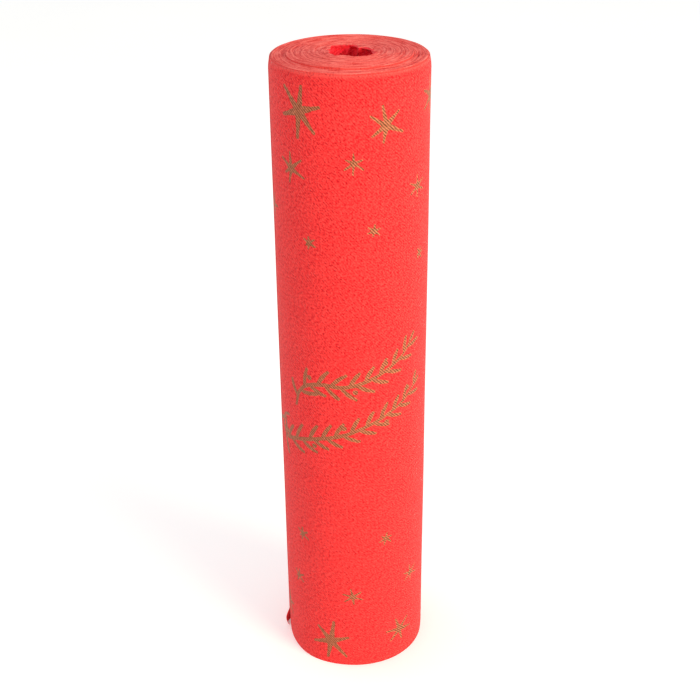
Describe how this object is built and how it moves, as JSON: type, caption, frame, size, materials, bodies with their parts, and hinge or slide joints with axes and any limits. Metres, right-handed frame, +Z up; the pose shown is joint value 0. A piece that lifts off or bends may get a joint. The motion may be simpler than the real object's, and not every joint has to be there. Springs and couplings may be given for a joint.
{
  "type": "wrapping paper roll",
  "caption": "Upright coreless roll of red festive wrapping web with gold stars: outer turn unrolls, nested turns push out, loose tail corner folds.",
  "frame": {"origin": "on the roll's axis at the plane it stands on", "axes": "+Z up along the roll's axis; -Y is the front; +X is to the right seen from the front"},
  "size_m": [0.0939, 0.0914, 0.4014],
  "materials": {
    "printed_web": "matt embossed non-woven web with gold-brown print",
    "edge_web": "cut edges of matt non-woven web",
    "shaded_web": "matt non-woven web, crumpled, unprinted side"
  },
  "bodies": {
    "wound_roll": {"outer_turns": "printed_web", "fixed_outer_turn": "printed_web"},
    "middle": {"middle_turns": "edge_web"},
    "inner": {"inner_turns": "edge_web"},
    "core": {"core_turns": "edge_web"},
    "centre": {"crumpled_centre_turns": "shaded_web"},
    "free_turn_01": {"free_turn_01": "printed_web"},
    "free_turn_02": {"free_turn_02": "printed_web"},
    "free_turn_03": {"free_turn_03": "printed_web"},
    "free_turn_04": {"free_turn_04": "printed_web"},
    "free_turn_05": {"free_turn_05": "printed_web"},
    "free_turn_06": {"free_turn_06": "printed_web"},
    "free_turn_07": {"free_turn_07": "printed_web"},
    "free_turn_08": {"free_turn_08": "printed_web"},
    "free_turn_09": {"free_turn_09": "printed_web"},
    "free_turn_10": {"free_turn_10": "printed_web"},
    "free_turn_11": {"free_turn_11": "printed_web"},
    "free_turn_12": {"free_turn_12": "printed_web"},
    "free_turn_13": {"free_turn_13": "printed_web"},
    "free_turn_14": {"free_turn_14": "printed_web"},
    "free_turn_15": {"free_turn_15": "printed_web"},
    "tail_strip": {"tail_strip": "printed_web"},
    "tail_corner": {"tail_corner": "printed_web"}
  },
  "joints": [
    {"name": "push_out_centre", "type": "slide", "parent": "wound_roll", "child": "centre", "axis": [0, 0, 1], "range_m": [0, 0.06]},
    {"name": "push_out_core", "type": "slide", "parent": "wound_roll", "child": "core", "axis": [0, 0, 1], "range_m": [0, 0.045]},
    {"name": "push_out_inner", "type": "slide", "parent": "wound_roll", "child": "inner", "axis": [0, 0, 1], "range_m": [0, 0.03]},
    {"name": "push_out_middle", "type": "slide", "parent": "wound_roll", "child": "middle", "axis": [0, 0, 1], "range_m": [0, 0.015]},
    {"name": "unroll", "type": "hinge", "parent": "wound_roll", "child": "free_turn_01", "pos_m": [0.02514, -0.03798, 0.2], "axis": [0, 0, -1], "range_deg": [0, 12]},
    {"name": "unroll_02", "type": "hinge", "parent": "free_turn_01", "child": "free_turn_02", "pos_m": [0.03411, -0.03018, 0.2], "axis": [0, 0, -1], "range_deg": [0, 12]},
    {"name": "unroll_03", "type": "hinge", "parent": "free_turn_02", "child": "free_turn_03", "pos_m": [0.04076, -0.02032, 0.2], "axis": [0, 0, -1], "range_deg": [0, 12]},
    {"name": "unroll_04", "type": "hinge", "parent": "free_turn_03", "child": "free_turn_04", "pos_m": [0.04464, -0.00908, 0.2], "axis": [0, 0, -1], "range_deg": [0, 12]},
    {"name": "unroll_05", "type": "hinge", "parent": "free_turn_04", "child": "free_turn_05", "pos_m": [0.04546, 0.00278, 0.2], "axis": [0, 0, -1], "range_deg": [0, 12]},
    {"name": "unroll_06", "type": "hinge", "parent": "free_turn_05", "child": "free_turn_06", "pos_m": [0.0432, 0.01445, 0.2], "axis": [0, 0, -1], "range_deg": [0, 12]},
    {"name": "unroll_07", "type": "hinge", "parent": "free_turn_06", "child": "free_turn_07", "pos_m": [0.03798, 0.02514, 0.2], "axis": [0, 0, -1], "range_deg": [0, 12]},
    {"name": "unroll_08", "type": "hinge", "parent": "free_turn_07", "child": "free_turn_08", "pos_m": [0.03018, 0.03411, 0.2], "axis": [0, 0, -1], "range_deg": [0, 12]},
    {"name": "unroll_09", "type": "hinge", "parent": "free_turn_08", "child": "free_turn_09", "pos_m": [0.02032, 0.04076, 0.2], "axis": [0, 0, -1], "range_deg": [0, 12]},
    {"name": "unroll_10", "type": "hinge", "parent": "free_turn_09", "child": "free_turn_10", "pos_m": [0.00908, 0.04464, 0.2], "axis": [0, 0, -1], "range_deg": [0, 12]},
    {"name": "unroll_11", "type": "hinge", "parent": "free_turn_10", "child": "free_turn_11", "pos_m": [-0.00278, 0.04546, 0.2], "axis": [0, 0, -1], "range_deg": [0, 12]},
    {"name": "unroll_12", "type": "hinge", "parent": "free_turn_11", "child": "free_turn_12", "pos_m": [-0.01445, 0.0432, 0.2], "axis": [0, 0, -1], "range_deg": [0, 12]},
    {"name": "unroll_13", "type": "hinge", "parent": "free_turn_12", "child": "free_turn_13", "pos_m": [-0.02514, 0.03798, 0.2], "axis": [0, 0, -1], "range_deg": [0, 12]},
    {"name": "unroll_14", "type": "hinge", "parent": "free_turn_13", "child": "free_turn_14", "pos_m": [-0.03411, 0.03018, 0.2], "axis": [0, 0, -1], "range_deg": [0, 12]},
    {"name": "unroll_15", "type": "hinge", "parent": "free_turn_14", "child": "free_turn_15", "pos_m": [-0.04076, 0.02032, 0.2], "axis": [0, 0, -1], "range_deg": [0, 12]},
    {"name": "unroll_16", "type": "hinge", "parent": "free_turn_15", "child": "tail_strip", "pos_m": [-0.04464, 0.00908, 0.2], "axis": [0, 0, -1], "range_deg": [0, 12]},
    {"name": "corner_fold", "type": "hinge", "parent": "tail_strip", "child": "tail_corner", "pos_m": [-0.0456, 0.00171, 0.0075], "axis": [0.0192, 0.5148, -0.8571], "range_deg": [0, 90]}
  ],
  "couplings": [
    {"joint": "push_out_core", "follows": "push_out_centre", "ratio": 0.75},
    {"joint": "push_out_inner", "follows": "push_out_centre", "ratio": 0.5},
    {"joint": "push_out_middle", "follows": "push_out_centre", "ratio": 0.25},
    {"joint": "unroll_02", "follows": "unroll", "ratio": 1},
    {"joint": "unroll_03", "follows": "unroll", "ratio": 1},
    {"joint": "unroll_04", "follows": "unroll", "ratio": 1},
    {"joint": "unroll_05", "follows": "unroll", "ratio": 1},
    {"joint": "unroll_06", "follows": "unroll", "ratio": 1},
    {"joint": "unroll_07", "follows": "unroll", "ratio": 1},
    {"joint": "unroll_08", "follows": "unroll", "ratio": 1},
    {"joint": "unroll_09", "follows": "unroll", "ratio": 1},
    {"joint": "unroll_10", "follows": "unroll", "ratio": 1},
    {"joint": "unroll_11", "follows": "unroll", "ratio": 1},
    {"joint": "unroll_12", "follows": "unroll", "ratio": 1},
    {"joint": "unroll_13", "follows": "unroll", "ratio": 1},
    {"joint": "unroll_14", "follows": "unroll", "ratio": 1},
    {"joint": "unroll_15", "follows": "unroll", "ratio": 1},
    {"joint": "unroll_16", "follows": "unroll", "ratio": 1}
  ]
}
